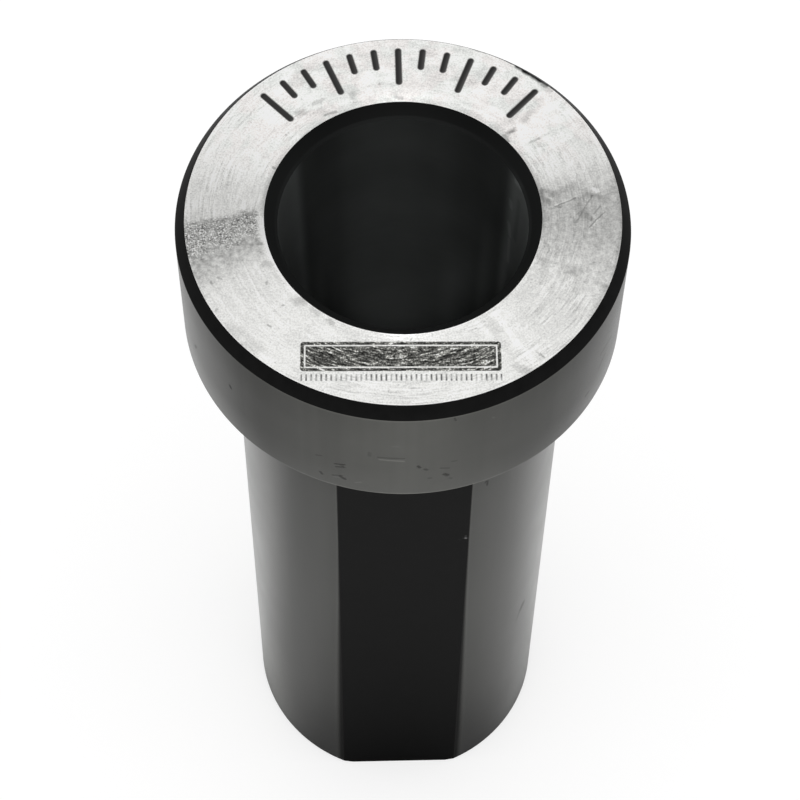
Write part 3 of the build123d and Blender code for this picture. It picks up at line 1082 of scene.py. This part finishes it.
flatFinish = {  # milled, then blackened
    "metallic": 0.0,
    "roughness": 0.4,
    "anisotropic": 0.0,
    "specular": 0.035,
    "steel": (0.0042, 0.0042, 0.0042),
    "cloudSize": 3.0,
    "cloudTone": 0.3,
    "rearTone": 0.3,  # painted shade: darker towards the rear end, between these heights
    "rearHeights": (4.0, 50.0),
    "pathPitch": 0.4,  # the cutter's path, long across the flat
    "pathLength": 50.0,
    "pathTone": 0.15,
}
flatSpecks = [  # strokes: x is across the flat, and y the height
    (4.6, 45.3, 5, 45.3, 0.12, 5), (4.8, 45.7, 4.8, 45.2, 0.14, 7),
    (4.3, 45.1, 4.4, 45, 0.1, 2),
]


def buildMilledFlat():
    finish = flatFinish
    material, tree, shader = startMetal("milledFlat", finish)
    place = useGroup(tree, "axisPlace")["Place"]
    parts = split(tree, place)
    laid = joined(tree, parts["X"], parts["Z"])
    cloud = cloudyTone(tree, place, finish["cloudSize"])
    lined = vectorNode(tree, "MULTIPLY", laid, (1 / finish["pathLength"], 1 / finish["pathPitch"], 0))
    tone = timesPlus(tree, cloud, finish["cloudTone"], 1.0)
    tone = timesPlus(tree, cloudyTone(tree, lined, 1.0), finish["pathTone"], tone)
    # painted shade towards the rear end
    fade = mapNode(tree, parts["Z"], *finish["rearHeights"], finish["rearTone"], 1.0, "LINEAR")
    tone = addStrokes(tree, times(tree, tone, fade), laid, flatSpecks)
    tree.links.new(scaled(tree, finish["steel"], tone), shader.inputs["Base Color"])
    return material


socketFinish = {  # the blackened socket
    "metallic": 0.0,
    "roughness": 0.5,
    "anisotropic": 0.0,
    "specular": 0.03,
    "steel": (0.0185, 0.0197, 0.0193),
    "cloudSize": 4.0,
    "cloudTone": 0.3,
    "linePitch": 0.3,
    "lineReach": 2.0,
    "lineTone": 0.12,
    "wearRadius": 8.5,  # at which socketStreaks lays out the arc
    "mouth": 0.38,  # painted shade: the chamfer at the mouth is darker
    "mouthFar": -0.45,  # painted shade, more so on its far side
    "mouthSector": (90, 30, 42, 42),
    "mouthInner": 0.2,  # the height of its inner part, shaded a little like the wall below
    "innerTone": 0.8,
    "innerLike": 0.25,
    "mouthBlur": 0.03,
    "wallBlur": 0.02,
}
socketReflectionSectors = [  # painted reflection and shade on the socket wall, by angle: heading, half, fades, tone
    (8, 14, 20, 10, 2.2), (172, 22, 9, 20, 1.3),
    (46, 10, 8, 14, -0.18), (134, 10, 10, 6, -0.2),
    (96, 8, 14, 14, 0.1),
]
socketLightAndShade = [  # painted light and shade down the socket wall: heading, half, fades, from and to a height, tone
    (90, 40, 14, 14, 61, 67, -0.22), (90, 40, 14, 14, 56, 48, 0.15),
    (48, 10, 12, 12, 60, 52, 0.6), (33, 6, 8, 8, 66, 57, 0.8),
    (146, 8, 8, 8, 60, 52, 0.8),
]
socketStreaks = [  # lighter and darker streaks: x is the arc from the right, and y the height
    (3.4, 72, 2.7, 72.3, 0.5, 0.5), (3.8, 69, 3.7, 68.5, 0.5, 0.4),
    (3.7, 66.3, 3.4, 65.2, 0.5, 0.45), (3.4, 64.6, 3.2, 62, 0.4, 0.35),
    (2.6, 70.5, 2.6, 66, 0.6, -0.2), (-24.4, 71, -24.6, 66, 0.5, 0.2),
]


def buildSocketOxide():
    finish = socketFinish
    material, tree, shader = startMetal("socketOxide", finish)
    axis = useGroup(tree, "axisPlace")
    place, height, way = axis["Place"], axis["Height"], axis["Way"]
    cloud = cloudyTone(tree, place, finish["cloudSize"])
    lines = turningLines(tree, height, way, finish["linePitch"], finish["lineReach"])
    tone = timesPlus(tree, cloud, finish["cloudTone"], 1.0)
    tone = timesPlus(tree, lines, finish["lineTone"], tone)
    # painted reflection, light and shade on the socket wall
    tone = addSectors(tree, tone, way, socketReflectionSectors)
    tone = addPatches(tree, tone, way, height, socketLightAndShade)
    parts = split(tree, place)
    turn = mathNode(tree, "ARCTAN2", parts["Y"], parts["X"])
    laid = joined(tree, times(tree, turn, finish["wearRadius"]), height)
    tone = addStrokes(tree, tone, laid, socketStreaks)
    # the chamfer at the mouth, from its foot up, with its painted shade
    foot = frontHeight / mm - sleeveShape["mouthChamfer"]
    ring = foot + finish["mouthInner"]
    inner = times(tree, timesPlus(tree, tone, finish["innerLike"], finish["innerTone"]), finish["mouth"])
    outer = toned(tree, finish["mouth"], sectorMask(tree, way, finish["mouthSector"]), finish["mouthFar"])
    mouth = mapNode(tree, height, ring - finish["mouthBlur"], ring + finish["mouthBlur"], inner, outer)
    onWall = mapNode(tree, height, foot - finish["wallBlur"], foot + finish["wallBlur"], 1, 0)
    shade = mapNode(tree, onWall, 0, 1, mouth, tone, "LINEAR")
    tree.links.new(scaled(tree, finish["steel"], shade), shader.inputs["Base Color"])
    return material


materials = {
    "groundFace": buildGroundFace(),
    "groundSide": buildGroundSide(),
    "blackOxide": buildBlackOxide(),
    "socketOxide": buildSocketOxide(),
    "milledFlat": buildMilledFlat(),
}
print("materials built:", ", ".join(materials))

sleeve = buildSleeve(materials)
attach(sleeve, "root")
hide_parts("sleeve")

cameraView = {  # metres and degrees
    "aimHeight": 0.04694,  # the point of the axis that the camera looks at
    "distance": 0.2102,
    "elevation": 60.32,
    "azimuth": -2.31,  # from the flat's outward normal
    "roll": 0.986,
    "lens": 120.0,
    "clipStart": 0.005,
    "clipEnd": 50.0,
}


def buildCamera(view):
    # away from the aim, the camera turns about Z by azimuth and rises by elevation, then rolls
    rise, turn, roll = (np.radians(view[name]) for name in ("elevation", "azimuth", "roll"))
    aim = Vector((0, 0, view["aimHeight"]))
    away = Vector((np.sin(turn) * np.cos(rise), -np.cos(turn) * np.cos(rise), np.sin(rise)))
    forward = -away
    right = forward.cross(Vector((0, 0, 1))).normalized()
    up = right.cross(forward)
    rolledRight = np.cos(roll) * right + np.sin(roll) * up
    rolledUp = np.cos(roll) * up - np.sin(roll) * right
    data = bpy.data.cameras.new("studioCamera")
    data.lens = view["lens"]
    data.clip_start, data.clip_end = view["clipStart"], view["clipEnd"]
    camera = bpy.data.objects.new("studioCamera", data)
    turned = Matrix((rolledRight, rolledUp, away)).transposed().to_4x4()
    camera.matrix_world = Matrix.Translation(aim + away * view["distance"]) @ turned
    bpy.context.scene.collection.objects.link(camera)
    bpy.context.scene.camera = camera
    print("camera placed")


buildCamera(cameraView)

studioLight = {  # metres; a share of the way is one of the unit direction's parts
    "roomLight": 1.1,  # from all round
    "gapLight": 0.45,  # the dimmer gap between the roof and the wall behind
    "gapMiddle": 0.50,  # as the direction's Y
    "gapHalf": 0.20,
    "boreLamp": 17.0,  # watts of the small lamp that shines into the socket
    "boreDistance": 0.6,
    "boreCone": 1.56,  # degrees
    "boreBlend": 0.3,
    "boreSize": 0.002,
    "floorHalf": 3.0,
    "floorGlow": 0.62,  # what the camera sees the paper give by itself
    "floorShade": 0.42,  # and how much it takes the light and the shadow
    "mirrorColour": 0.93,  # the paper as the metal mirrors it
    "mirrorTilt": -0.02,  # painted light and shade: lighter to the left, darker to the right
    "dipLeft": 0.28,  # painted shade: dimmer streaks in front of the left and right, about dipMiddle
    "dipRight": 0.14,
    "dipTurn": (-0.3, 0.3),  # the share of the way to the right over which one becomes the other
    "dipMiddle": -0.3,  # as the share of the way that lies to the back
    "dipHalf": 0.45,
    "riseBack": 0.20,  # painted light: lighter behind, close to the shank
    "riseNear": 0.022,
    "riseFar": 0.032,
    "riseTurn": (-0.05, 0.3),
    "contactDark": 0.7,  # painted contact shadow: darker in front of the rear end, fading over contactReach
    "contactReach": 0.016,
    "contactTurn": (-0.1, -0.85),
    "cardDark": 0.42,  # painted shade: dark bands left and right, from cardNear to cardFar
    "cardNear": 0.036,
    "cardFar": 0.050,
}


def buildWorld(light):
    # an even white room with a dimmer gap: the light depends on the direction's Y
    world = bpy.data.worlds.new("studioWorld")
    bpy.context.scene.world = world
    tree = clearedTree(world)
    parts = split(tree, addNode(tree, "ShaderNodeTexCoord").outputs["Generated"])
    away = mathNode(tree, "ABSOLUTE", mathNode(tree, "SUBTRACT", parts["Y"], light["gapMiddle"]))
    level = mapNode(tree, away, 0.0, light["gapHalf"], light["gapLight"], light["roomLight"])
    background = addNode(tree, "ShaderNodeBackground", {"Color": (1, 1, 1, 1), "Strength": level})
    addNode(tree, "ShaderNodeOutputWorld", {"Surface": background.outputs["Background"]})
    print("room lit")


def buildBoreLamp(light):
    # a narrow spot through the mouth onto the socket's far wall
    data = bpy.data.lights.new("boreLamp", "SPOT")
    data.energy = light["boreLamp"]
    data.spot_size = np.radians(light["boreCone"])
    data.spot_blend = light["boreBlend"]
    data.shadow_soft_size = light["boreSize"]
    lamp = bpy.data.objects.new("boreLamp", data)
    rise = np.radians(cameraView["elevation"])
    away = Vector((0, -np.cos(rise), np.sin(rise)))
    lamp.location = Vector((0, 0, frontHeight)) + away * light["boreDistance"]
    lamp.rotation_euler = away.to_track_quat("Z", "Y").to_euler()
    bpy.context.scene.collection.objects.link(lamp)
    print("lamp placed")


def buildFloor(light):
    # paper seen by the camera is white with the object's shadow. What the metal mirrors carries painted
    # shade and light: colour (1 + tilt x/r) (1 - contact front exp(-(r - shank) / reach))
    # (1 - band far |x|/r) (1 - dip about dipMiddle) (1 + rise behind)
    half = light["floorHalf"]
    corners = [(-half, -half, 0), (half, -half, 0), (half, half, 0), (-half, half, 0)]
    mesh = bpy.data.meshes.new("floor")
    mesh.from_pydata(corners, [], [(0, 1, 2, 3)])
    floor = bpy.data.objects.new("floor", mesh)
    bpy.context.scene.collection.objects.link(floor)
    paper = bpy.data.materials.new("floorPaper")
    tree = clearedTree(paper)
    place = addNode(tree, "ShaderNodeTexCoord").outputs["Object"]
    radius = vectorNode(tree, "LENGTH", place, result="Value")
    parts = split(tree, vectorNode(tree, "NORMALIZE", place))
    along, back = parts["X"], parts["Y"]
    away = mathNode(tree, "DIVIDE", mathNode(tree, "SUBTRACT", shankRadius, radius), light["contactReach"])
    front = mapNode(tree, back, *light["contactTurn"], 0, light["contactDark"])
    contact = times(tree, front, mathNode(tree, "EXPONENT", away))
    far = mapNode(tree, radius, light["cardNear"], light["cardFar"], 0, light["cardDark"])
    sideBand = times(tree, far, mathNode(tree, "ABSOLUTE", along))
    dip = mapNode(tree, along, *light["dipTurn"], light["dipLeft"], light["dipRight"])
    offMiddle = mathNode(tree, "ABSOLUTE", mathNode(tree, "SUBTRACT", back, light["dipMiddle"]))
    dip = times(tree, dip, mapNode(tree, offMiddle, 0, light["dipHalf"], 1, 0))
    tone = timesPlus(tree, along, light["mirrorTilt"], 1.0)
    for dark in (contact, sideBand, dip):
        tone = times(tree, tone, mathNode(tree, "SUBTRACT", 1.0, dark))
    rise = mapNode(tree, radius, light["riseNear"], light["riseFar"], light["riseBack"], 0)
    tone = toned(tree, tone, rise, mapNode(tree, back, *light["riseTurn"], 0, 1))
    tone = times(tree, tone, light["mirrorColour"])
    plain = addNode(tree, "ShaderNodeBsdfDiffuse", {"Color": tone})
    shade = addNode(tree, "ShaderNodeBsdfDiffuse", {"Color": (*[light["floorShade"]] * 3, 1)})
    glow = addNode(tree, "ShaderNodeEmission", {"Strength": light["floorGlow"]})
    seen = addNode(tree, "ShaderNodeAddShader", {0: shade.outputs[0], 1: glow.outputs[0]})
    path = addNode(tree, "ShaderNodeLightPath")
    chosen = addNode(tree, "ShaderNodeMixShader", {
        0: path.outputs["Is Camera Ray"], 1: plain.outputs[0], 2: seen.outputs[0],
    })
    addNode(tree, "ShaderNodeOutputMaterial", {"Surface": chosen.outputs[0]})
    mesh.materials.append(paper)
    print("floor laid")


buildWorld(studioLight)
buildBoreLamp(studioLight)
buildFloor(studioLight)

bpy.context.scene.view_settings.view_transform = "Standard"
